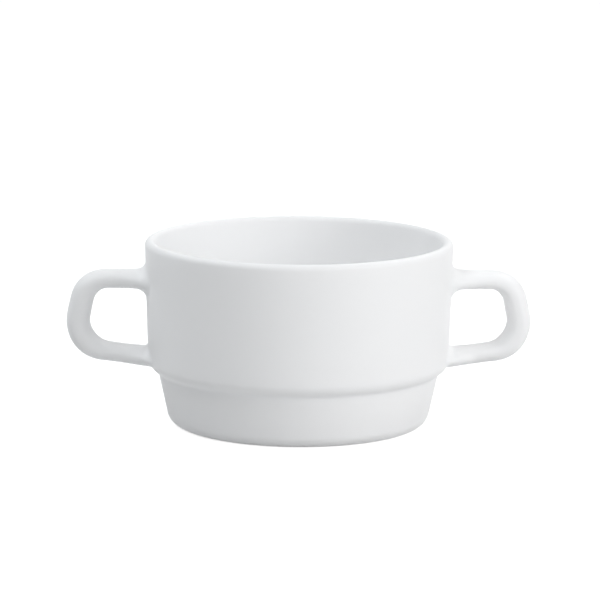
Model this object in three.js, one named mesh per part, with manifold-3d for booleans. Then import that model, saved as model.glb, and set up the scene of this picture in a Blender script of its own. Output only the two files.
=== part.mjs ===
// Stackable soup cup: a round bowl with a stacking foot, and a loop handle on each side. Millimetres.
// The origin is the centre of the ring that the cup stands on, +Z is up and +X runs out through a handle.
import * as THREE from 'three';
import { mergeVertices } from 'three/addons/utils/BufferGeometryUtils.js';
import Module from 'manifold-3d';

// Upper wall and lip
const RIM_RADIUS = 50; // outside of the wall, at the lip
const HEIGHT = 60.3;
const WALL = 3.6; // the lip is the full round on top of it
const WALL_DRAFT = 1.7; // degrees that the wall leans in on its way down

// Shoulder and foot: the foot goes into the cup below, and the shoulder rests on that cup's lip
const SHOULDER_HEIGHT = 19.3; // the corner under the upper wall, before it is rounded
const SHOULDER_SLOPE = 26; // degrees that the underside of the shoulder falls towards the foot
const SHOULDER_ROUND = 3.2;
const STACK_CLEARANCE = 0.8; // from the top of the foot to the inside of the lip below
const FOOT_FILLET = 1.8; // inner corner between shoulder and foot
const FOOT_DRAFT = 12.4; // degrees
const FOOT_WALL = 3.9;
const FOOT_ROUND = 4.9;

// Inside and underside
const FLOOR = 4.4; // thickness over the recess
const FLOOR_ROUND = 9; // corner between the floor and the foot's inside
const INNER_SHOULDER_RISE = 2.4; // inner step, above the shoulder outside
const INNER_SHOULDER_SLOPE = 38; // degrees
const INNER_SHOULDER_ROUND = 5;
const RING_WIDTH = 3.6; // flat standing ring
const RECESS_DEPTH = 1.3;
const RECESS_BEVEL = 3; // width of the slope from the ring up to the recess
const RECESS_ROUND = 4;

// Handles: a centreline of two arms and a grip, drawn out from the wall
const UPPER_ARM_DROP = 13; // lip to the upper arm's centreline
const LOWER_ARM_LIFT = 2.4; // shoulder corner to the lower arm's centreline at the wall
const LOWER_ARM_RISE = 7.8; // degrees that the lower arm climbs on its way out
const UPPER_REACH = 19.2; // wall to the corner of the centreline, at the upper arm
const LOWER_REACH = 24.7; // the same at the lower arm: the grip leans out
const UPPER_BEND = 8; // centreline radius
const LOWER_BEND = 10.2;
const ARM_THICKNESS = 5.7;
const GRIP_THICKNESS = 7.7;
const SWELL_START = 12; // distance from the wall where an arm starts to thicken into the grip
const SWELL_LENGTH = 10;
const HANDLE_WIDTH = 13;
const SECTION_FULLNESS = 2.3; // 2 is an ellipse, more is squarer

// Roots: an arm widens towards the wall, where a fillet runs round it with a radius for each side
const ROOT_SPREAD = 3; // extra width on each side
const ROOT_SPREAD_LENGTH = 9;
const SIDE_FILLET = 2.6;
const UPPER_OUTER_FILLET = 3; // above the upper arm
const UPPER_INNER_FILLET = 3.6; // under the upper arm, in the finger gap
const LOWER_INNER_FILLET = 1.8; // above the lower arm; underneath, the arm runs into the shoulder's round
const ROOT_DEPTH = 4; // length of arm drawn past the wall before the root is cut to fit it
const SEAT_GAP = 0.3; // joint between a root and the wall

// Flats that stand for round stretches
const ROUND_SEGMENTS = 60;
const ARC_DIVISIONS = 3;
const SECTION_POINTS = 22;
const FILLET_RINGS = 6;
const LOOP_RINGS = 34;

const GLAZE = { color: 0xf0f0f1, roughness: 0.38, metalness: 0 };
const { clamp, degToRad, lerp, smoothstep } = THREE.MathUtils;
const tan = (degrees) => Math.tan(degToRad(degrees));

// A corner of an outline, with the radius that rounds it.
const corner = (x, y, round = 0) => ({ point: new THREE.Vector2(x, y), round });

// Directions from a corner to its two neighbours, and half the angle between them.
function spread(corners, i) {
  const back = corners[i - 1].point.clone().sub(corners[i].point).normalize();
  const ahead = corners[i + 1].point.clone().sub(corners[i].point).normalize();
  return { back, ahead, half: Math.acos(clamp(back.dot(ahead), -1, 1)) / 2 };
}

// Radii that fit: where two rounds would use up more than the line between them, both shrink to fill it.
function fittedRounds(corners) {
  const tangent = ({ round }, i) => (round > 0 ? round / Math.tan(spread(corners, i).half) : 0);
  const used = corners.map(tangent);
  const fit = corners.map(() => 1);
  for (let i = 0; i + 1 < corners.length; i += 1) {
    const room = corners[i].point.distanceTo(corners[i + 1].point);
    const share = Math.min(1, room / Math.max(used[i] + used[i + 1], Number.EPSILON));
    fit[i] = Math.min(fit[i], share);
    fit[i + 1] = Math.min(fit[i + 1], share);
  }
  return corners.map(({ round }, i) => round * fit[i]);
}

// Joins corners by straight lines, with an arc at each rounded one.
function roundedPath(corners) {
  const rounds = fittedRounds(corners);
  const path = new THREE.Path();
  path.moveTo(corners[0].point.x, corners[0].point.y);
  for (let i = 1; i < corners.length; i += 1) {
    const { point } = corners[i];
    if (rounds[i] === 0) {
      path.lineTo(point.x, point.y);
      continue;
    }
    const { back, ahead, half } = spread(corners, i);
    const tangent = rounds[i] / Math.tan(half);
    const start = point.clone().addScaledVector(back, tangent);
    const end = point.clone().addScaledVector(ahead, tangent);
    const inward = back.clone().add(ahead).normalize();
    const centre = point.clone().addScaledVector(inward, rounds[i] / Math.sin(half));
    if (path.currentPoint.distanceTo(start) > 1e-6) path.lineTo(start.x, start.y);
    const from = start.sub(centre).angle();
    const to = end.sub(centre).angle();
    path.absarc(centre.x, centre.y, rounds[i], from, to, back.cross(ahead) > 0);
  }
  return path;
}

// Moves an outline's lines out to their right by a distance, with their rounds kept parallel.
function offsetCorners(corners, distance) {
  const normals = corners.slice(1).map(({ point }, i) => {
    const along = point.clone().sub(corners[i].point).normalize();
    return new THREE.Vector2(along.y, -along.x);
  });
  return corners.map(({ point, round }, i) => {
    const before = normals[Math.max(i - 1, 0)];
    const after = normals[Math.min(i, normals.length - 1)];
    const shift = before.clone().add(after).multiplyScalar(distance / (1 + before.dot(after)));
    const growth = before.cross(after) > 0 ? distance : -distance;
    const moved = point.clone().add(shift);
    return corner(moved.x, moved.y, round > 0 ? Math.max(round + growth, distance) : 0);
  });
}

// Turns an outline that runs from the axis to the axis into a solid round +Z.
function revolve(corners) {
  const points = roundedPath(corners).getPoints(ARC_DIVISIONS);
  return new THREE.LatheGeometry(points, ROUND_SEGMENTS).rotateX(Math.PI / 2);
}

// Outside of the bowl, from the foot up to the shoulder.
const wallRadius = (z) => RIM_RADIUS - (HEIGHT - z) * tan(WALL_DRAFT);
const shoulderRadius = wallRadius(SHOULDER_HEIGHT);
const footTopRadius = RIM_RADIUS - WALL - STACK_CLEARANCE;
const footTop = SHOULDER_HEIGHT - (shoulderRadius - footTopRadius) * tan(SHOULDER_SLOPE);
const baseRadius = footTopRadius - footTop * tan(FOOT_DRAFT);
const ringOuter = baseRadius - FOOT_ROUND / tan((90 + FOOT_DRAFT) / 2);
const ringInner = ringOuter - RING_WIDTH;
const outerCorners = [
  corner(baseRadius, 0, FOOT_ROUND),
  corner(footTopRadius, footTop, FOOT_FILLET),
  corner(shoulderRadius, SHOULDER_HEIGHT, SHOULDER_ROUND),
];

// Inside of the bowl, from the lip down to the floor, with a soft step where the foot starts.
const floorTop = RECESS_DEPTH + FLOOR;
const stepTop = SHOULDER_HEIGHT + INNER_SHOULDER_RISE;
const innerWallRadius = (z) => wallRadius(z) - WALL;
const innerFootRadius = (z) => baseRadius + z * tan(FOOT_DRAFT) - FOOT_WALL;
const stepSlope = tan(INNER_SHOULDER_SLOPE);
const stepDrop = (innerWallRadius(stepTop) - innerFootRadius(stepTop)) * stepSlope;
const stepBottom = stepTop - stepDrop / (1 - tan(FOOT_DRAFT) * stepSlope);
const innerCorners = [
  corner(innerWallRadius(HEIGHT), HEIGHT, WALL / 2),
  corner(innerWallRadius(stepTop), stepTop, INNER_SHOULDER_ROUND),
  corner(innerFootRadius(stepBottom), stepBottom, INNER_SHOULDER_ROUND),
  corner(innerFootRadius(floorTop), floorTop, FLOOR_ROUND),
];

const bowlGeometry = revolve([
  corner(0, RECESS_DEPTH),
  corner(ringInner - RECESS_BEVEL, RECESS_DEPTH, RECESS_ROUND),
  corner(ringInner, 0),
  ...outerCorners,
  corner(RIM_RADIUS, HEIGHT, WALL / 2),
  ...innerCorners,
  corner(0, floorTop),
]);

// The bowl's outside, grown by the joint: it cuts each handle's roots to the wall that they sit on.
const outside = [corner(0, 0), ...outerCorners, corner(RIM_RADIUS, HEIGHT), corner(0, HEIGHT)];
const seatGeometry = revolve(offsetCorners(outside, SEAT_GAP));

// Centreline of a handle in its own plane: x out from the cup's axis, y up.
const upperArmHeight = HEIGHT - UPPER_ARM_DROP;
const lowerArmHeight = SHOULDER_HEIGHT + LOWER_ARM_LIFT;
const upperRoot = wallRadius(upperArmHeight);
const lowerRoot = wallRadius(lowerArmHeight);
const lowerArmAt = (x) => lowerArmHeight + (x - lowerRoot) * tan(LOWER_ARM_RISE);
const centreline = roundedPath([
  corner(upperRoot - ROOT_DEPTH, upperArmHeight),
  corner(upperRoot + UPPER_REACH, upperArmHeight, UPPER_BEND),
  corner(lowerRoot + LOWER_REACH, lowerArmAt(lowerRoot + LOWER_REACH), LOWER_BEND),
  corner(lowerRoot - ROOT_DEPTH, lowerArmAt(lowerRoot - ROOT_DEPTH)),
]);

// Growth of a section near the wall: a quarter round that starts at a distance and is whole at the wall.
function flare(distance, radius) {
  if (distance >= radius) return 0;
  const left = clamp(1 - distance / radius, 0, 1);
  return radius * (1 - Math.sqrt(1 - left * left));
}

const power = (value, exponent) => Math.sign(value) * Math.abs(value) ** exponent;

// Fillet radius on the side of an arm that a section's normal points to: y is out of the loop.
function filletTowards(normal, isLower) {
  const outer = isLower ? 0 : UPPER_OUTER_FILLET;
  const inner = isLower ? LOWER_INNER_FILLET : UPPER_INNER_FILLET;
  return lerp(SIDE_FILLET, normal.y > 0 ? outer : inner, Math.abs(normal.y));
}

// One oval ring of a handle. Near the wall its points bend round the bowl, so that a root meets it evenly.
function handleRing(station) {
  const share = station / centreline.getLength();
  const centre = centreline.getPointAt(share);
  const along = centreline.getTangentAt(share);
  const isLower = along.x < 0;
  const distance = centre.x - (isLower ? lowerRoot : upperRoot);
  const swell = smoothstep(distance, SWELL_START, SWELL_START + SWELL_LENGTH);
  const halfThickness = lerp(ARM_THICKNESS, GRIP_THICKNESS, swell) / 2;
  const nearWall = 1 - smoothstep(distance, 0, ROOT_SPREAD_LENGTH);
  const halfWidth = HANDLE_WIDTH / 2 + ROOT_SPREAD * nearWall;
  return Array.from({ length: SECTION_POINTS }, (_, i) => {
    const angle = (2 * Math.PI * i) / SECTION_POINTS;
    const [c, s] = [Math.cos(angle), Math.sin(angle)];
    const normal = new THREE.Vector2(
      power(c, 2 - 2 / SECTION_FULLNESS) / halfWidth,
      power(s, 2 - 2 / SECTION_FULLNESS) / halfThickness,
    ).normalize();
    const growth = flare(distance, filletTowards(normal, isLower));
    const across = halfWidth * power(c, 2 / SECTION_FULLNESS) + growth * normal.x;
    const outward = halfThickness * power(s, 2 / SECTION_FULLNESS) + growth * normal.y;
    const bend = nearWall * (centre.x - Math.sqrt(centre.x ** 2 - across ** 2));
    return [centre.x - along.y * outward - bend, across, centre.y + along.x * outward];
  });
}

// Stations of the rings along the centreline, closest together where the root fillets turn out.
function ringStations() {
  const length = centreline.getLength();
  const reach = Math.max(SIDE_FILLET, UPPER_OUTER_FILLET, UPPER_INNER_FILLET, LOWER_INNER_FILLET);
  const quarter = (i) => 1 - Math.cos((Math.PI / 2) * (i / FILLET_RINGS));
  const root = Array.from({ length: FILLET_RINGS }, (_, i) => ROOT_DEPTH + reach * quarter(i));
  const start = ROOT_DEPTH + reach;
  const share = (i) => i / (LOOP_RINGS - 1);
  const between = Array.from({ length: LOOP_RINGS }, (_, i) => lerp(start, length - start, share(i)));
  const otherRoot = root.map((station) => length - station).reverse();
  return [0, ...root, ...between, ...otherRoot, length];
}

// Joins rings of equal length into a closed skin, with a flat fan over each end.
function loft(rings) {
  const size = rings[0].length;
  const middle = (ring) => [0, 1, 2].map((k) => ring.reduce((sum, p) => sum + p[k], 0) / size);
  const vertices = [...rings.flat(), middle(rings[0]), middle(rings.at(-1))];
  const startFan = rings.length * size;
  const last = startFan - size;
  const triangles = [];
  for (let j = 0; j < size; j += 1) {
    const next = (j + 1) % size;
    for (let row = 0; row < last; row += size) {
      triangles.push(row + j, row + next, row + size + j);
      triangles.push(row + next, row + size + next, row + size + j);
    }
    triangles.push(startFan, next, j);
    triangles.push(startFan + 1, last + j, last + next);
  }
  const geometry = new THREE.BufferGeometry();
  geometry.setAttribute('position', new THREE.Float32BufferAttribute(vertices.flat(), 3));
  geometry.setIndex(triangles);
  return geometry;
}

const wasm = await Module();
wasm.setup();

// A closed geometry as a solid that can be cut.
function toSolid(geometry) {
  const bare = new THREE.BufferGeometry();
  bare.setAttribute('position', geometry.getAttribute('position').clone());
  bare.setIndex(geometry.getIndex().clone());
  const merged = mergeVertices(bare, 1e-5);
  const vertProperties = new Float32Array(merged.getAttribute('position').array);
  const triVerts = new Uint32Array(merged.getIndex().array);
  return new wasm.Manifold(new wasm.Mesh({ numProp: 3, vertProperties, triVerts }));
}

// A cut solid as a geometry again.
function toGeometry(solid) {
  const { vertProperties, triVerts } = solid.getMesh();
  const geometry = new THREE.BufferGeometry();
  geometry.setAttribute('position', new THREE.BufferAttribute(vertProperties, 3));
  geometry.setIndex(new THREE.BufferAttribute(triVerts, 1));
  geometry.computeVertexNormals();
  return geometry;
}

const loop = toSolid(loft(ringStations().map(handleRing)));
const handleGeometry = toGeometry(loop.subtract(toSolid(seatGeometry)));

function piece(name, geometry) {
  const mesh = new THREE.Mesh(geometry, new THREE.MeshStandardMaterial(GLAZE));
  mesh.name = name;
  return mesh;
}

const cup = new THREE.Group();
cup.add(piece('cup_body', bowlGeometry));
cup.add(piece('handle_right', handleGeometry));
const otherSide = new THREE.Group();
otherSide.rotation.z = Math.PI;
otherSide.add(piece('handle_left', handleGeometry));
cup.add(otherSide);

export default cup;
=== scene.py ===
# %% [markdown]
# # A stackable soup cup in white glaze
# The cup is a low round bowl with a loop handle on each side. Below its upper wall the bowl steps in to a
# narrower foot, so that one cup stands in the mouth of the next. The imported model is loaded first, as a fixed
# frame in metres: it says where each piece is and how large. The pieces made below are finer skins for the same
# three pieces, and nothing in the frame is moved.

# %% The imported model
import math

import bmesh
import bpy
import numpy as np
from mathutils import Matrix, Quaternion, Vector


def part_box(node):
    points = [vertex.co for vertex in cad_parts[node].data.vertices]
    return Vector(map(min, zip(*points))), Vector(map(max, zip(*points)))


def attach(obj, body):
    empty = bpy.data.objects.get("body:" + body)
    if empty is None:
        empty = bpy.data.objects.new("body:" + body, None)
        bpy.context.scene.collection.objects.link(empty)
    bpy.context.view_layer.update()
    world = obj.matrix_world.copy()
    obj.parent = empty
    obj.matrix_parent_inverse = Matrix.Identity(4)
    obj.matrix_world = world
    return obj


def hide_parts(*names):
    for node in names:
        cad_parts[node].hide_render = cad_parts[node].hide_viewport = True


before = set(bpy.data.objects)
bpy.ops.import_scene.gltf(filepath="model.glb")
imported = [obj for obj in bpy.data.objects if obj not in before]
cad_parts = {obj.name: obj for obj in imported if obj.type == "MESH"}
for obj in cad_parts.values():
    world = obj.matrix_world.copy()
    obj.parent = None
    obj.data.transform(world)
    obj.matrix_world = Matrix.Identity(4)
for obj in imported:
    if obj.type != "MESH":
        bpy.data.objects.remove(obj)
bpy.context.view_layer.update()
bowl_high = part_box("cup_body")[1]
MM = 0.001

# %% [markdown]
# ## Camera
# The photograph looks a little down on the cup, from far enough away that the two handles show no perspective. A
# long lens at that distance gives the same flat view. The camera stands on the cup's front side, a hair to the
# left, because the left handle comes a little nearer in the picture than the right one. A shifted lens could frame
# the cup too, but every other view would inherit the shift. So the camera is aimed at a point by the cup's axis,
# above its middle, and is then rolled by the small tilt that the picture has.

# %% Camera
SIGHT_HEIGHT = 30 * MM
SIGHT_DISTANCE = 1300 * MM
SIGHT_RISE = math.radians(10.81)
SIGHT_TURN = math.radians(-1.2)
AIM = Vector((0.38, 0, 40.35)) * MM
ROLL = math.radians(0.38)
LENS = 240.2


def add_camera():
    data = bpy.data.cameras.new("camera")
    data.lens = LENS
    camera = bpy.data.objects.new("camera", data)
    run = SIGHT_DISTANCE * math.cos(SIGHT_RISE)
    climb = SIGHT_DISTANCE * math.sin(SIGHT_RISE)
    camera.location = (run * math.sin(SIGHT_TURN), -run * math.cos(SIGHT_TURN), SIGHT_HEIGHT + climb)
    aimed = (AIM - camera.location).to_track_quat("-Z", "Y")
    camera.rotation_mode = "QUATERNION"
    camera.rotation_quaternion = aimed @ Quaternion((0, 0, 1), ROLL)
    bpy.context.scene.collection.objects.link(camera)
    bpy.context.scene.camera = camera
    return camera


camera = add_camera()
bpy.context.scene.view_settings.view_transform = "Standard"
print("camera at", [round(x, 4) for x in camera.location], "m with a", LENS, "mm lens")

# %% [markdown]
# ## Helpers for shader nodes
# Every material below is a small graph of nodes. Written out in full, such a graph takes four or five lines a node.
# Five short helpers keep it readable: one adds a node and sets its values, one joins sockets, one calculates with
# sockets and numbers, one opens a node group with named sockets, and one places a group in a material.

# %% Node helpers
NUMBER = "NodeSocketFloat"
COLOUR = "NodeSocketColor"


def add_node(tree, kind, settings=None, **values):
    """Adds a node, sets its own settings, and sets the input sockets that are named as keywords."""
    node = tree.nodes.new(kind)
    for key, value in (settings or {}).items():
        setattr(node, key, value)
    for key, value in values.items():
        node.inputs[key.replace("_", " ")].default_value = value
    return node


def join(tree, *pairs):
    """Links pairs of (output socket, input socket)."""
    for source, target in pairs:
        tree.links.new(source, target)


def calculate(tree, operation, *terms):
    """A Math node: each term is a socket to link or a plain number. Gives its output socket."""
    node = add_node(tree, "ShaderNodeMath", {"operation": operation})
    for slot, term in zip(node.inputs, terms):
        if isinstance(term, bpy.types.NodeSocket):
            tree.links.new(term, slot)
        else:
            slot.default_value = term
    return node.outputs[0]


def open_group(name, inputs, outputs):
    """A new shader group. Inputs are (label, socket kind, starting value), outputs are (label, socket kind)."""
    group = bpy.data.node_groups.new(name, "ShaderNodeTree")
    for label, kind, start in inputs:
        socket = group.interface.new_socket(label, in_out="INPUT", socket_type=kind)
        socket.default_value = start
    for label, kind in outputs:
        group.interface.new_socket(label, in_out="OUTPUT", socket_type=kind)
    return group, group.nodes.new("NodeGroupInput").outputs, group.nodes.new("NodeGroupOutput").inputs


def place_group(tree, group, **values):
    """Puts a group into a material with its own values."""
    node = tree.nodes.new("ShaderNodeGroup")
    node.node_tree = group
    for key, value in values.items():
        node.inputs[key.replace("_", " ")].default_value = value
    return node


print("node helpers ready")

# %% [markdown]
# ## Floor and background
# The cup stands on a plain white table that runs out of the picture. A real white sweep is lit until it is pure
# white. Here the floor and the world glow white only towards the camera and in reflections, so that the glow
# casts no light on the cup. Its light comes from the lamps, from what the floor throws back of them, and from a
# faint light of the room. The floor under the glow still takes the cup's soft shadow. From below the floor is
# see-through, and it has a hole that the standing ring covers, so that the underside can be lit and looked at.

# %% Floor and background
TABLE_SIZE = 6.0
TABLE_HOLE = 37.2 * MM
TABLE_SIDES = 64
TABLE_DROP = 0.02 * MM
TABLE_PALE = (0.65, 0.65, 0.65, 1)
TABLE_GLOW = 0.8
WORLD_WHITE = (1, 1, 1, 1)
WORLD_TINT = (0.93, 0.965, 1.0, 1)
WORLD_LIGHT = 0.1


def seen_or_mirrored(tree):
    """1 for rays from the camera, from glossy reflections and through clear things, and 0 for the rest."""
    path = tree.nodes.new("ShaderNodeLightPath").outputs
    mirrored = calculate(tree, "MAXIMUM", path["Is Glossy Ray"], path["Is Transmission Ray"])
    return calculate(tree, "MAXIMUM", path["Is Camera Ray"], mirrored)


def floor_material():
    """Pale and glowing from above, clear from below."""
    material = bpy.data.materials.new("white_table")
    material.use_nodes = True
    tree = material.node_tree
    tree.nodes.clear()
    pale = add_node(tree, "ShaderNodeBsdfDiffuse", Color=TABLE_PALE)
    glow = add_node(tree, "ShaderNodeEmission")
    lit = tree.nodes.new("ShaderNodeAddShader")
    clear = tree.nodes.new("ShaderNodeBsdfTransparent")
    side = tree.nodes.new("ShaderNodeMixShader")
    facing = tree.nodes.new("ShaderNodeNewGeometry")
    output = tree.nodes.new("ShaderNodeOutputMaterial")
    join(
        tree,
        (calculate(tree, "MULTIPLY", seen_or_mirrored(tree), TABLE_GLOW), glow.inputs["Strength"]),
        (pale.outputs[0], lit.inputs[0]),
        (glow.outputs[0], lit.inputs[1]),
        (facing.outputs["Backfacing"], side.inputs[0]),
        (lit.outputs[0], side.inputs[1]),
        (clear.outputs[0], side.inputs[2]),
        (side.outputs[0], output.inputs["Surface"]),
    )
    return material


def add_floor():
    """A round floor with a hole that the cup's standing ring covers."""
    turns = np.linspace(0, 2 * math.pi, TABLE_SIDES, endpoint=False)
    edges = (TABLE_HOLE, TABLE_SIZE / 2)
    points = [(radius * math.cos(turn), radius * math.sin(turn), 0) for radius in edges for turn in turns]
    ahead = np.roll(range(TABLE_SIDES), -1)
    faces = [(j, j + TABLE_SIDES, k + TABLE_SIDES, k) for j, k in enumerate(ahead)]
    mesh = bpy.data.meshes.new("floor")
    mesh.from_pydata(points, [], faces)
    mesh.materials.append(floor_material())
    floor = bpy.data.objects.new("floor", mesh)
    floor.location.z = -TABLE_DROP
    bpy.context.scene.collection.objects.link(floor)


def light_world():
    """A world that is white to look at and in reflections, and gives only a faint light."""
    world = bpy.data.worlds.new("white_room")
    world.use_nodes = True
    bpy.context.scene.world = world
    tree = world.node_tree
    tree.nodes.clear()
    room = add_node(tree, "ShaderNodeBackground", Color=WORLD_TINT, Strength=WORLD_LIGHT)
    white = add_node(tree, "ShaderNodeBackground", Color=WORLD_WHITE, Strength=1)
    pick = tree.nodes.new("ShaderNodeMixShader")
    output = tree.nodes.new("ShaderNodeOutputWorld")
    join(
        tree,
        (seen_or_mirrored(tree), pick.inputs[0]),
        (room.outputs[0], pick.inputs[1]),
        (white.outputs[0], pick.inputs[2]),
        (pick.outputs[0], output.inputs["Surface"]),
    )


add_floor()
light_world()
print("floor", TABLE_SIZE, "m across, world light", WORLD_LIGHT)

# %% [markdown]
# ## Lamps
# A white cup is shown by its shades, so the light is uneven on purpose. Two large soft lamps at the right, one of
# them low, make the right wall bright and let it fall to grey towards the left. A weaker one at the front fills the
# near wall. Two cool ones, one high and one behind the left, give the left its bluish shade and reach into the
# bowl, and one at the back lights the far side. The last one shines up through the hole in the floor. Area lamps
# stand for the softboxes of a studio, because point or sun lamps would draw hard shadows.

# %% Lamps
LAMP_AIM = Vector((0, 0, 30)) * MM
LAMP_DISTANCE = 1.2
LAMP_SIZE = 0.9
UNDER_DISTANCE = 2.0
UNDER_SIZE = 1.5
NEUTRAL = (1, 1, 1)
COOL = (0.95, 0.98, 1.0)


def add_lamp(name, azimuth, elevation, power, tint=NEUTRAL, distance=LAMP_DISTANCE, size=LAMP_SIZE):
    """An area lamp that faces the cup. Azimuth 0 is behind the camera, and 90 is at the cup's right."""
    data = bpy.data.lights.new(name, "AREA")
    data.shape = "DISK"
    data.size = size
    data.energy = power
    data.color = tint
    lamp = bpy.data.objects.new(name, data)
    turn, rise = math.radians(azimuth), math.radians(elevation)
    outward = Vector((math.sin(turn) * math.cos(rise), -math.cos(turn) * math.cos(rise), math.sin(rise)))
    lamp.location = LAMP_AIM + distance * outward
    lamp.rotation_euler = (-outward).to_track_quat("-Z", "Y").to_euler()
    bpy.context.scene.collection.objects.link(lamp)


add_lamp("key_softbox", azimuth=60, elevation=25, power=4.5)
add_lamp("low_softbox", azimuth=60, elevation=6, power=4.2)
add_lamp("front_softbox", azimuth=0, elevation=25, power=2.9)
add_lamp("top_softbox", azimuth=-60, elevation=65, power=4.7, tint=COOL)
add_lamp("left_softbox", azimuth=-120, elevation=45, power=3.8, tint=COOL)
add_lamp("back_softbox", azimuth=150, elevation=45, power=3.6)
add_lamp("under_softbox", azimuth=0, elevation=-90, power=20.0, distance=UNDER_DISTANCE, size=UNDER_SIZE)

# %% [markdown]
# ## Glaze, as shared node groups
# Fired glaze is never quite even, and a single flat white would look like plastic. Each way in which it varies is
# one node group below, built once and placed in every material that shows it, with that material's own values. The
# sizes are in metres, because the cup's own coordinates are.
#
# The first is its surface. Glaze runs a little before it sets, so it lies in long shallow waves with a finer orange
# peel on top. Modelled waves would need far more faces than a few hundredths of a millimetre are worth, so two
# noises of different size give a height for a Bump node.

# %% Glaze waves, a bump height


def glaze_waves_group():
    group, given, result = open_group(
        "glaze_waves",
        [("Wave Size", NUMBER, 9 * MM), ("Peel Size", NUMBER, 0.9 * MM), ("Peel Share", NUMBER, 0.12)],
        [("Height", NUMBER)],
    )
    place = group.nodes.new("ShaderNodeTexCoord").outputs["Object"]
    waves = add_node(group, "ShaderNodeTexNoise", Detail=1.0, Roughness=0.4)
    peel = add_node(group, "ShaderNodeTexNoise", Detail=1.0, Roughness=0.5)
    join(
        group,
        (place, waves.inputs["Vector"]),
        (place, peel.inputs["Vector"]),
        (calculate(group, "DIVIDE", 1, given["Wave Size"]), waves.inputs["Scale"]),
        (calculate(group, "DIVIDE", 1, given["Peel Size"]), peel.inputs["Scale"]),
    )
    fine = calculate(group, "MULTIPLY", peel.outputs[0], given["Peel Share"])
    join(group, (calculate(group, "ADD", waves.outputs[0], fine), result["Height"]))
    return group


glaze_waves = glaze_waves_group()
print("group", glaze_waves.name, "gives a height")

# %% [markdown]
# ### Pools
# Glaze gathers in inner corners, where it lies thicker and looks cooler. Such corners could be painted by hand, but
# the paint would be lost with the next change of shape. On a turned piece a corner is a ring, so the mask comes
# from the distance to a ring of a given radius and height, and stays right when a size changes.

# %% Glaze pools, a mask round a ring


def ring_pool_group():
    group, given, result = open_group(
        "ring_pool",
        [("Radius", NUMBER, 40 * MM), ("Height", NUMBER, 0), ("Reach", NUMBER, 5 * MM)],
        [("Mask", NUMBER)],
    )
    place = group.nodes.new("ShaderNodeTexCoord").outputs["Object"]
    parts = group.nodes.new("ShaderNodeSeparateXYZ")
    join(group, (place, parts.inputs[0]))
    across = calculate(group, "MULTIPLY", parts.outputs["X"], parts.outputs["X"])
    along = calculate(group, "MULTIPLY", parts.outputs["Y"], parts.outputs["Y"])
    radius = calculate(group, "SQRT", calculate(group, "ADD", across, along))
    outward = calculate(group, "SUBTRACT", radius, given["Radius"])
    upward = calculate(group, "SUBTRACT", parts.outputs["Z"], given["Height"])
    square = calculate(
        group,
        "ADD",
        calculate(group, "MULTIPLY", outward, outward),
        calculate(group, "MULTIPLY", upward, upward),
    )
    fade = add_node(group, "ShaderNodeMapRange", {"interpolation_type": "SMOOTHSTEP"}, To_Min=1.0, To_Max=0.0)
    join(
        group,
        (calculate(group, "SQRT", square), fade.inputs["Value"]),
        (given["Reach"], fade.inputs["From Max"]),
        (fade.outputs[0], result["Mask"]),
    )
    return group


ring_pool = ring_pool_group()
print("group", ring_pool.name, "gives a mask")

# %% [markdown]
# ### Tone
# Clay and kiln let a white glaze drift by a hair between two near whites, and pooled glaze takes a third, cooler
# one. A cloudy noise mixes the first two, and the mask of the pools brings in the third. The whites are sockets of
# the group, so that bare clay can use it too.

# %% Glaze tone, a colour
GLAZE_WHITE = (0.95, 0.95, 0.952, 1)
DRIFT_WHITE = (0.935, 0.936, 0.94, 1)
POOL_WHITE = (0.915, 0.92, 0.93, 1)


def glaze_tone_group():
    group, given, result = open_group(
        "glaze_tone",
        [
            ("White", COLOUR, GLAZE_WHITE),
            ("Drift White", COLOUR, DRIFT_WHITE),
            ("Pool White", COLOUR, POOL_WHITE),
            ("Drift Size", NUMBER, 30 * MM),
            ("Pool", NUMBER, 0),
        ],
        [("Color", COLOUR)],
    )
    place = group.nodes.new("ShaderNodeTexCoord").outputs["Object"]
    cloud = add_node(group, "ShaderNodeTexNoise", Detail=3.0, Roughness=0.55)
    drift = add_node(group, "ShaderNodeMix", {"data_type": "RGBA"})
    pooled = add_node(group, "ShaderNodeMix", {"data_type": "RGBA"})
    join(
        group,
        (place, cloud.inputs["Vector"]),
        (calculate(group, "DIVIDE", 1, given["Drift Size"]), cloud.inputs["Scale"]),
        (cloud.outputs[0], drift.inputs["Factor"]),
        (given["White"], drift.inputs["A"]),
        (given["Drift White"], drift.inputs["B"]),
        (given["Pool"], pooled.inputs["Factor"]),
        (drift.outputs["Result"], pooled.inputs["A"]),
        (given["Pool White"], pooled.inputs["B"]),
        (pooled.outputs["Result"], result["Color"]),
    )
    return group


glaze_tone = glaze_tone_group()
print("group", glaze_tone.name, "gives a colour, by default near", GLAZE_WHITE[:3])

# %% [markdown]
# ### Gloss
# Where glaze is thin, or has cooled slowly, it is a little duller. A map of that could be painted, but a cloudy
# noise that moves the roughness between two values is enough to break up the reflections. Noise seldom comes near 0
# or 1, so its middle is stretched first.

# %% Gloss drift, a roughness
CLOUD_LOW = 0.3
CLOUD_HIGH = 0.7


def gloss_drift_group():
    group, given, result = open_group(
        "gloss_drift",
        [("Smoothest", NUMBER, 0.42), ("Roughest", NUMBER, 0.52), ("Drift Size", NUMBER, 14 * MM)],
        [("Roughness", NUMBER)],
    )
    place = group.nodes.new("ShaderNodeTexCoord").outputs["Object"]
    cloud = add_node(group, "ShaderNodeTexNoise", Detail=4.0, Roughness=0.6)
    spread = add_node(group, "ShaderNodeMapRange", From_Min=CLOUD_LOW, From_Max=CLOUD_HIGH)
    join(
        group,
        (place, cloud.inputs["Vector"]),
        (calculate(group, "DIVIDE", 1, given["Drift Size"]), cloud.inputs["Scale"]),
        (cloud.outputs[0], spread.inputs["Value"]),
        (given["Smoothest"], spread.inputs["To Min"]),
        (given["Roughest"], spread.inputs["To Max"]),
        (spread.outputs[0], result["Roughness"]),
    )
    return group


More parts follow.
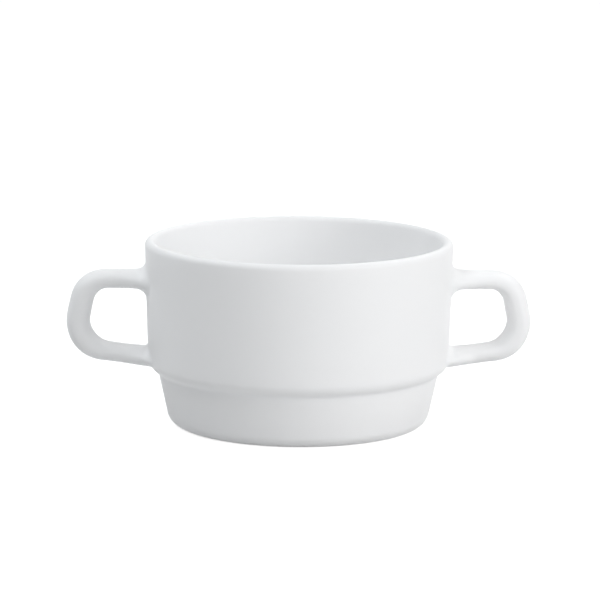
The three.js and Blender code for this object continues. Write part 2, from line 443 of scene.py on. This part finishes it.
gloss_drift = gloss_drift_group()
print("group", gloss_drift.name, "gives a roughness")

# %% [markdown]
# ### Specks
# A few pin-point specks stay in any glaze. Placed one by one they would take a node each. A Voronoi texture gives
# one point to each of its cells instead, and only a small share of the cells keep theirs.

# %% Pin specks, a mask


def pin_specks_group():
    group, given, result = open_group(
        "pin_specks",
        [("Spacing", NUMBER, 6 * MM), ("Speck Size", NUMBER, 0.12 * MM), ("Share", NUMBER, 0.1)],
        [("Mask", NUMBER)],
    )
    place = group.nodes.new("ShaderNodeTexCoord").outputs["Object"]
    cells = group.nodes.new("ShaderNodeTexVoronoi")
    pick = group.nodes.new("ShaderNodeSeparateColor")
    join(
        group,
        (place, cells.inputs["Vector"]),
        (calculate(group, "DIVIDE", 1, given["Spacing"]), cells.inputs["Scale"]),
        (cells.outputs["Color"], pick.inputs[0]),
    )
    distance = calculate(group, "MULTIPLY", cells.outputs["Distance"], given["Spacing"])
    near = calculate(group, "LESS_THAN", distance, given["Speck Size"])
    kept = calculate(group, "LESS_THAN", pick.outputs[0], given["Share"])
    join(group, (calculate(group, "MULTIPLY", near, kept), result["Mask"]))
    return group


pin_specks = pin_specks_group()
print("group", pin_specks.name, "gives a mask")

# %% [markdown]
# ## Glaze material
# Bowl and handles have the same glaze, and differ in where it has pooled: on the bowl in the corner under the
# shoulder and at the edge of the floor, and on the handles at their roots. One function therefore makes both
# materials, from the rings where the glaze lies thicker. What is the same all over the surface, here how strongly
# the glaze bends light, is set on the shader itself.

# %% Glaze material
SPECK_GREY = (0.55, 0.55, 0.54, 1)
SPECK_STRENGTH = 0.35
POOL_STRENGTH = 0.25
WAVE_DEPTH = 0.03 * MM
GLAZE_IOR = 1.35


def glaze_material(name, pools, wave_size):
    """White glaze. Pools are rings of (radius, height, reach) where it lies thicker."""
    material = bpy.data.materials.new(name)
    material.use_nodes = True
    tree = material.node_tree
    shader = tree.nodes["Principled BSDF"]
    shader.inputs["IOR"].default_value = GLAZE_IOR
    thick = None
    for radius, height, reach in pools:
        mask = place_group(tree, ring_pool, Radius=radius, Height=height, Reach=reach).outputs["Mask"]
        thick = mask if thick is None else calculate(tree, "MAXIMUM", thick, mask)
    tone = place_group(tree, glaze_tone)
    specks = place_group(tree, pin_specks)
    speckled = add_node(tree, "ShaderNodeMix", {"data_type": "RGBA"}, B=SPECK_GREY)
    waves = place_group(tree, glaze_waves, Wave_Size=wave_size)
    gloss = place_group(tree, gloss_drift)
    bump = add_node(tree, "ShaderNodeBump", Strength=1.0, Distance=WAVE_DEPTH)
    join(
        tree,
        (calculate(tree, "MULTIPLY", thick, POOL_STRENGTH), tone.inputs["Pool"]),
        (calculate(tree, "MULTIPLY", specks.outputs["Mask"], SPECK_STRENGTH), speckled.inputs["Factor"]),
        (tone.outputs["Color"], speckled.inputs["A"]),
        (speckled.outputs["Result"], shader.inputs["Base Color"]),
        (gloss.outputs["Roughness"], shader.inputs["Roughness"]),
        (waves.outputs["Height"], bump.inputs["Height"]),
        (bump.outputs["Normal"], shader.inputs["Normal"]),
    )
    return material


print("glaze bends light by", GLAZE_IOR, "and has waves", WAVE_DEPTH / MM, "mm deep")

# %% [markdown]
# ## Bare ring material
# The ring that the cup stands on is wiped bare before firing, or it would stick to the kiln shelf, so it is dull
# and gritty. Bare clay drifts in tone and has grains as glaze does, only coarser and closer together. So it needs
# no groups of its own: it takes those of the glaze with other values.

# %% Bare ring material
BARE_WHITE = (0.74, 0.73, 0.70, 1)
BARE_SHADE = (0.66, 0.65, 0.62, 1)
BARE_DRIFT = 3 * MM
GRIT_GREY = (0.45, 0.44, 0.42, 1)
GRIT_SPACING = 0.8 * MM
GRIT_SIZE = 0.12 * MM
GRIT_SHARE = 0.3
GRAIN_SIZE = 0.6 * MM
FINE_GRAIN_SIZE = 0.2 * MM
FINE_GRAIN_SHARE = 0.6
GRAIN_DEPTH = 0.05 * MM
DULL_LEAST = 0.6
DULL_MOST = 0.85
DULL_DRIFT = 2 * MM


def bare_ring_material():
    material = bpy.data.materials.new("bare_ring")
    material.use_nodes = True
    tree = material.node_tree
    shader = tree.nodes["Principled BSDF"]
    tone = place_group(tree, glaze_tone, White=BARE_WHITE, Drift_White=BARE_SHADE, Drift_Size=BARE_DRIFT)
    grit = place_group(tree, pin_specks, Spacing=GRIT_SPACING, Speck_Size=GRIT_SIZE, Share=GRIT_SHARE)
    gritty = add_node(tree, "ShaderNodeMix", {"data_type": "RGBA"}, B=GRIT_GREY)
    grain = place_group(
        tree, glaze_waves, Wave_Size=GRAIN_SIZE, Peel_Size=FINE_GRAIN_SIZE, Peel_Share=FINE_GRAIN_SHARE
    )
    dull = place_group(tree, gloss_drift, Smoothest=DULL_LEAST, Roughest=DULL_MOST, Drift_Size=DULL_DRIFT)
    bump = add_node(tree, "ShaderNodeBump", Strength=1.0, Distance=GRAIN_DEPTH)
    join(
        tree,
        (grit.outputs["Mask"], gritty.inputs["Factor"]),
        (tone.outputs["Color"], gritty.inputs["A"]),
        (gritty.outputs["Result"], shader.inputs["Base Color"]),
        (dull.outputs["Roughness"], shader.inputs["Roughness"]),
        (grain.outputs["Height"], bump.inputs["Height"]),
        (bump.outputs["Normal"], shader.inputs["Normal"]),
    )
    return material


print("bare ring is near", BARE_WHITE[:3])

# %% [markdown]
# ## Outlines with soft corners
# The bowl is round, so one outline holds its whole shape. It is written as corners with a radius each, the way a
# mould is drawn. Arcs alone would meet the straight runs with a jump in curvature, which shows in a glossy
# surface as a hard edge of light. Glaze smooths such jumps as it melts, and a short blur along the outline does
# the same here. Points are then kept only where the outline turns or has run on for a while.

# %% Outlines with rounded corners
FINE_STEP = 0.05 * MM


def unit(vector):
    return vector / np.linalg.norm(vector)


def run_lengths(points):
    """Distance along a row of points, from its start to each of them."""
    steps = np.linalg.norm(np.diff(points, axis=0), axis=1)
    return np.concatenate([[0], np.cumsum(steps)])


def at_lengths(points, lengths):
    """Points at given distances along a row of points."""
    run = run_lengths(points)
    return np.stack([np.interp(lengths, run, column) for column in points.T], axis=1)


def evenly(points, step):
    """The same row, with its points about a step apart."""
    total = run_lengths(points)[-1]
    return at_lengths(points, np.linspace(0, total, 1 + math.ceil(total / step)))


def rounded_outline(corners):
    """Evenly spaced points along straight runs through (x, z, round) corners, with an arc in each corner."""
    spots = [np.array(corner[:2]) for corner in corners]
    rounds = [corner[2] for corner in corners[1:-1]]
    points = [spots[0]]
    for radius, before, here, after in zip(rounds, spots, spots[1:], spots[2:]):
        back, ahead = unit(before - here), unit(after - here)
        half = math.acos(np.clip(back @ ahead, -1, 1)) / 2
        centre = here + unit(back + ahead) * radius / math.sin(half)
        start = here + back * radius / math.tan(half) - centre
        end = here + ahead * radius / math.tan(half) - centre
        sweep = math.pi - 2 * half
        for share in np.linspace(0, 1, 2 + math.ceil(radius * sweep / FINE_STEP)):
            turned = math.sin((1 - share) * sweep) * start + math.sin(share * sweep) * end
            points.append(centre + turned / math.sin(sweep))
    points.append(spots[-1])
    return evenly(np.array(points), FINE_STEP)


print("outlines are drawn every", FINE_STEP / MM, "mm")

# %% Softened and thinned outlines
BLUR_REACH = 3


def soften(points, spread):
    """Blurs an evenly spaced row of points over a distance. The row is run on past its ends, which stay put."""
    reach = math.ceil(BLUR_REACH * spread / FINE_STEP)
    weights = np.exp(-0.5 * (np.arange(-reach, reach + 1) * FINE_STEP / spread) ** 2)
    head = 2 * points[0] - points[reach:0:-1]
    tail = 2 * points[-1] - points[-2 : -reach - 2 : -1]
    longer = np.concatenate([head, points, tail])
    return np.stack([np.convolve(column, weights / weights.sum(), "valid") for column in longer.T], axis=1)


def thin_out(points, turn, run):
    """Keeps a point where the row has turned, or has run on, by that much since the last one kept."""
    steps = np.diff(points, axis=0)
    headings = np.unwrap(np.arctan2(steps[:, 1], steps[:, 0]))
    turned = np.cumsum(np.abs(np.diff(headings)))
    turned = np.concatenate([[0], turned, turned[-1:]])
    progress = turned / turn + run_lengths(points) / run
    wanted = np.linspace(0, progress[-1], 1 + math.ceil(progress[-1]))
    return at_lengths(points, np.interp(wanted, progress, run_lengths(points)))


print("a blur reaches", BLUR_REACH, "times its spread")

# %% [markdown]
# ## Bowl
# The real bowl is pressed or jiggered in a round mould. A lathe is the tool for it: the outline from the middle of
# the underside, out round the foot, up the wall, over the lip and down to the middle of the floor is spun once
# round the axis. The sizes that matter for stacking follow from each other: the foot is as wide as the mouth,
# less a clearance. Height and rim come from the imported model, so that the skin fits it.

# %% Bowl sizes
WALL = 3.6 * MM
WALL_DRAFT = math.tan(math.radians(1.7))
SHOULDER_HEIGHT = 19.3 * MM
SHOULDER_SLOPE = math.tan(math.radians(29))
SHOULDER_ROUND = 4.2 * MM
STACK_CLEARANCE = 0.8 * MM
FOOT_FILLET = 2.2 * MM
FOOT_DRAFT_ANGLE = math.radians(12.4)
FOOT_WALL = 3.9 * MM
FOOT_ROUND = 4.9 * MM
FLOOR_THICKNESS = 4.4 * MM
FLOOR_ROUND = 9 * MM
INNER_STEP_RISE = 2.4 * MM
INNER_STEP_SLOPE = math.tan(math.radians(38))
INNER_STEP_ROUND = 5 * MM
RING_WIDTH = 3.6 * MM
RECESS_DEPTH = 1.3 * MM
RECESS_BEVEL = 3 * MM
RECESS_ROUND = 4 * MM
RING_EDGE = 0.5 * MM

height = bowl_high.z
rim_radius = bowl_high.x + WALL / 2 * WALL_DRAFT
foot_draft = math.tan(FOOT_DRAFT_ANGLE)
print("bowl is", round(height / MM, 2), "mm high and", round(2 * rim_radius / MM, 2), "mm across")

# %% Bowl outline
GLAZE_FLOW = 0.35 * MM


def wall_radius(z):
    """Radius of the upper wall's outside at a height."""
    return rim_radius - (height - z) * WALL_DRAFT


shoulder_radius = wall_radius(SHOULDER_HEIGHT)
foot_top_radius = rim_radius - WALL - STACK_CLEARANCE
foot_top = SHOULDER_HEIGHT - (shoulder_radius - foot_top_radius) * SHOULDER_SLOPE
base_radius = foot_top_radius - foot_top * foot_draft
ring_outer = base_radius - FOOT_ROUND / math.tan(math.radians(45) + FOOT_DRAFT_ANGLE / 2)
ring_inner = ring_outer - RING_WIDTH
floor_top = RECESS_DEPTH + FLOOR_THICKNESS
step_top = SHOULDER_HEIGHT + INNER_STEP_RISE


def inner_foot_radius(z):
    """Radius of the foot's inside at a height."""
    return base_radius + z * foot_draft - FOOT_WALL


step_in = wall_radius(step_top) - WALL - inner_foot_radius(step_top)
step_bottom = step_top - step_in * INNER_STEP_SLOPE / (1 - foot_draft * INNER_STEP_SLOPE)
bowl_corners = [
    (0, RECESS_DEPTH, 0),  # middle of the underside
    (ring_inner - RECESS_BEVEL, RECESS_DEPTH, RECESS_ROUND),  # edge of the recess
    (ring_inner, 0, RING_EDGE),  # inner edge of the standing ring
    (base_radius, 0, FOOT_ROUND),  # base of the foot
    (foot_top_radius, foot_top, FOOT_FILLET),  # corner under the shoulder
    (shoulder_radius, SHOULDER_HEIGHT, SHOULDER_ROUND),  # shoulder
    (rim_radius, height, WALL / 2),  # lip, outside
    (rim_radius - WALL, height, WALL / 2),  # lip, inside
    (wall_radius(step_top) - WALL, step_top, INNER_STEP_ROUND),  # top of the inner step
    (inner_foot_radius(step_bottom), step_bottom, INNER_STEP_ROUND),  # bottom of the inner step
    (inner_foot_radius(floor_top), floor_top, FLOOR_ROUND),  # edge of the floor
    (0, floor_top, 0),  # middle of the floor
]
bowl_outline = soften(rounded_outline(bowl_corners), GLAZE_FLOW)
print("bowl outline is", round(run_lengths(bowl_outline)[-1] / MM, 1), "mm long")
print("foot is", round(2 * foot_top_radius / MM, 2), "mm across at its top")

# %% [markdown]
# ### On the lathe
# A Screw modifier, or the spin of bmesh, could turn the outline too. Both leave double points along the seam and on
# the axis, and merging them after a spin put the points in another order each run. So the turning is written out:
# each point of the outline becomes a ring of points, the rings are skinned, and a fan of triangles closes each end,
# where the outline meets the axis. Faces that lie flat on the table are the bare ring, and all others are glazed.

# %% Mesh helpers


def skin(shape, rings):
    """Puts faces between each ring of points and the next."""
    for ring, ahead in zip(rings, rings[1:]):
        for j in range(len(ring)):
            k = (j + 1) % len(ring)
            shape.faces.new((ring[j], ring[k], ahead[k], ahead[j]))


def finished_mesh(name, shape):
    """Turns a bmesh into a mesh with all its faces looking outwards."""
    bmesh.ops.recalc_face_normals(shape, faces=shape.faces)
    mesh = bpy.data.meshes.new(name)
    shape.to_mesh(mesh)
    shape.free()
    return mesh


def add_piece(name, mesh, node, materials):
    """A finished mesh as a piece that rides with the cup and stands for its node."""
    for material in materials:
        mesh.materials.append(material)
    mesh.shade_smooth()
    piece = bpy.data.objects.new(name, mesh)
    bpy.context.scene.collection.objects.link(piece)
    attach(piece, "root")
    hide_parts(node)
    print(name, "has", len(mesh.polygons), "faces")


print("mesh helpers ready")

# %% Bowl on the lathe
LATHE_STEPS = 192
OUTLINE_TURN = math.radians(6)
OUTLINE_RUN = 4 * MM
RING_LEVEL = 0.03 * MM
SHOULDER_POOL = 4 * MM
FLOOR_POOL = 9 * MM
BOWL_WAVES = 9 * MM


def turn_on_lathe(name, outline):
    """Carries an outline, which starts and ends on the axis, once round it."""
    turns = np.linspace(0, 2 * math.pi, LATHE_STEPS, endpoint=False)
    spokes = list(zip(np.cos(turns), np.sin(turns)))
    shape = bmesh.new()
    rings = [[shape.verts.new((x * c, x * s, z)) for c, s in spokes] for x, z in outline[1:-1]]
    skin(shape, rings)
    for ring, z in ((rings[0], outline[0, 1]), (rings[-1], outline[-1, 1])):
        middle = shape.verts.new((0, 0, z))
        for j in range(LATHE_STEPS):
            shape.faces.new((ring[j], ring[j - 1], middle))
    return finished_mesh(name, shape)


def make_bowl():
    mesh = turn_on_lathe("bowl", thin_out(bowl_outline, OUTLINE_TURN, OUTLINE_RUN))
    pools = [
        (foot_top_radius, foot_top, SHOULDER_POOL),
        (inner_foot_radius(floor_top), floor_top, FLOOR_POOL),
    ]
    glaze = glaze_material("bowl_glaze", pools, BOWL_WAVES)
    add_piece("bowl", mesh, "cup_body", [glaze, bare_ring_material()])
    for face in mesh.polygons:
        if max(mesh.vertices[i].co.z for i in face.vertices) < RING_LEVEL:
            face.material_index = 1


make_bowl()

# %% [markdown]
# ## Handles
# A handle is a loop of oval section that swells towards the grip and spreads where it joins the wall. A curve with
# a bevel would have one section all along, so the loop is lofted instead: ovals are set along its centreline, each
# with its own width and thickness, and skinned. The centreline is an outline of four corners like the bowl's. It
# starts inside the wall, runs out along the upper arm, down the leaning grip, and back along the lower arm.

# %% Handle centreline
UPPER_ARM_DROP = 13 * MM
LOWER_ARM_LIFT = 2.4 * MM
LOWER_ARM_RISE = math.tan(math.radians(7.8))
UPPER_REACH = 19.2 * MM
LOWER_REACH = 24.7 * MM
UPPER_BEND = 8 * MM
LOWER_BEND = 10.2 * MM
LOOP_FLOW = 0.8 * MM
LEAD_IN = 6 * MM

upper_height = height - UPPER_ARM_DROP
lower_height = SHOULDER_HEIGHT + LOWER_ARM_LIFT
upper_root = wall_radius(upper_height)
lower_root = wall_radius(lower_height)


def lower_arm_height(x):
    return lower_height + (x - lower_root) * LOWER_ARM_RISE


def handle_centreline():
    corners = [
        (upper_root - LEAD_IN, upper_height, 0),
        (upper_root + UPPER_REACH, upper_height, UPPER_BEND),
        (lower_root + LOWER_REACH, lower_arm_height(lower_root + LOWER_REACH), LOWER_BEND),
        (lower_root - LEAD_IN, lower_arm_height(lower_root - LEAD_IN), 0),
    ]
    return soften(rounded_outline(corners), LOOP_FLOW)


centreline = handle_centreline()
print("handle centreline is", round(run_lengths(centreline)[-1] / MM, 1), "mm long")

# %% [markdown]
# ### Sections
# On the real cup each root turns out into the wall in a smooth fillet. A bevel between two joined solids could make
# one, but with the same radius all round, and here it is wide at the sides and tight below. So close to the wall an
# oval is bent until it lies parallel to the wall, and grows by a quarter round whose radius depends on the way that
# its outline faces. The growth runs on for a little just under the wall, or smooth shading would draw a crease.

# %% Handle section, away from the wall
ARM_THICKNESS = 5.7 * MM
GRIP_THICKNESS = 7.68 * MM
SWELL_START = 12 * MM
SWELL_LENGTH = 10 * MM
HANDLE_WIDTH = 13 * MM
FULLNESS = 2.4
SECTION_POINTS = 56


def ease(value, start, end):
    """Goes smoothly from 0 at the start to 1 at the end."""
    share = min(max((value - start) / (end - start), 0), 1)
    return share * share * (3 - 2 * share)


def thickness_at(distance):
    """Thickness of the handle at a distance from the wall."""
    swell = ease(distance, SWELL_START, SWELL_START + SWELL_LENGTH)
    return ARM_THICKNESS + (GRIP_THICKNESS - ARM_THICKNESS) * swell


def full_oval(half_width, half_thickness):
    """Points of an oval that is fuller than an ellipse, and the ways that its outline faces there."""
    angles = np.linspace(0, 2 * math.pi, SECTION_POINTS, endpoint=False)
    turns = np.stack([np.cos(angles), np.sin(angles)])
    halves = np.array([[half_width], [half_thickness]])
    points = halves * (np.sign(turns) * np.abs(turns) ** (2 / FULLNESS))
    facing = np.sign(turns) * np.abs(turns) ** (2 - 2 / FULLNESS) / halves
    return points, facing / np.linalg.norm(facing, axis=0)


print("sections of", SECTION_POINTS, "points,", ARM_THICKNESS / MM, "to", GRIP_THICKNESS / MM, "mm thick")

# %% Handle section, with its fillets to the wall
ROOT_SPREAD = 3 * MM
ROOT_SPREAD_LENGTH = 9 * MM
SIDE_FILLET = 4.2 * MM
UPPER_ARM_FILLETS = (3.0 * MM, 3.6 * MM)
LOWER_ARM_FILLETS = (0.1 * MM, 1.8 * MM)
RUN_ON = 0.3

outer_half = bowl_outline[np.argmin(bowl_outline[:, 1]) : np.argmax(bowl_outline[:, 1])]


def outside_radius(z):
    """Radius of the bowl's outside at a height."""
    return np.interp(z, outer_half[:, 1], outer_half[:, 0])


def flare(distance, radius):
    """Growth of a section near the wall: a quarter round that is whole at the wall and runs on just under it."""
    left = np.clip(1 - distance / radius, 0, 1)
    return radius * (1 - np.sqrt(1 - left * left) + (RUN_ON if distance < 0 else 0))


def handle_section(centre, along):
    """Points of one section, at a place of the centreline and square to the way that it runs there."""
    is_lower = along[0] < 0
    distance = centre[0] - (lower_root if is_lower else upper_root)
    near_wall = 1 - ease(distance, 0, ROOT_SPREAD_LENGTH)
    half_width = HANDLE_WIDTH / 2 + ROOT_SPREAD * near_wall
    points, facing = full_oval(half_width, thickness_at(distance) / 2)
    outer, inner = LOWER_ARM_FILLETS if is_lower else UPPER_ARM_FILLETS
    lean = np.abs(facing[1])
    fillet = np.where(facing[1] > 0, outer, inner) * lean + SIDE_FILLET * (1 - lean)
    across, outward = points + flare(distance, fillet) * facing
    z = centre[1] + along[0] * outward
    flat_x = centre[0] - along[1] * outward
    wall_x = np.sqrt((outside_radius(z) + distance) ** 2 - across**2)
    x = flat_x + near_wall * (wall_x - flat_x)
    return np.stack([x, across, z], axis=1)


print("fillets at the roots from", min(LOWER_ARM_FILLETS) / MM, "to", SIDE_FILLET / MM, "mm")

# %% [markdown]
# ### Loft
# Evenly spaced sections would waste faces on the straight arms and starve the fillets, so they stand closest where
# the fillets turn out. The first and the last one lie inside the wall's thickness: no seam shows where handle and
# bowl are fused, and nothing comes through on the inside. The second handle is the first turned half round, as one
# mould makes both.

# %% Handle loft
FILLET_RINGS = 12
LOOP_STEP = 0.9 * MM
ROOT_DEPTH = 0.6 * MM
RUN_ON_DEPTH = 0.04 * MM
ROOT_POOL = 8 * MM
HANDLE_WAVES = 7 * MM


def ring_stations():
    """Distances along the centreline, closest together where the root fillets turn out into the wall."""
    run = run_lengths(centreline)
    middle = len(centreline) // 2
    into_wall = np.interp(upper_root, centreline[:middle, 0], run[:middle])
    out_of_wall = np.interp(-lower_root, -centreline[middle:, 0], run[middle:])
    reach = max(*UPPER_ARM_FILLETS, *LOWER_ARM_FILLETS, SIDE_FILLET)
    quarter = reach * (1 - np.cos(np.linspace(0, math.pi / 2, FILLET_RINGS)))
    root = np.concatenate([[-ROOT_DEPTH, -RUN_ON_DEPTH], quarter])
    start, end = into_wall + reach, out_of_wall - reach
    loop = np.linspace(start, end, math.ceil((end - start) / LOOP_STEP))[1:-1]
    return np.concatenate([into_wall + root, loop, out_of_wall - root[::-1]])


def handle_rings():
    stations = ring_stations()
    places = at_lengths(centreline, stations)
    ahead = at_lengths(centreline, stations + FINE_STEP) - places
    return [handle_section(centre, unit(step)) for centre, step in zip(places, ahead)]


def loft(name, rings):
    """Skins a row of rings, with a face over each end."""
    shape = bmesh.new()
    rows = [[shape.verts.new(point) for point in ring] for ring in rings]
    skin(shape, rows)
    shape.faces.new(rows[0])
    shape.faces.new(rows[-1])
    return finished_mesh(name, shape)


def make_handles():
    rings = handle_rings()
    pools = [(upper_root, upper_height, ROOT_POOL), (lower_root, lower_height, ROOT_POOL)]
    glaze = glaze_material("handle_glaze", pools, HANDLE_WAVES)
    for name, node, turn in (("right_handle", "handle_right", 0), ("left_handle", "handle_left", math.pi)):
        mesh = loft(name, rings)
        mesh.transform(Matrix.Rotation(turn, 4, "Z"))
        add_piece(name, mesh, node, [glaze])


make_handles()
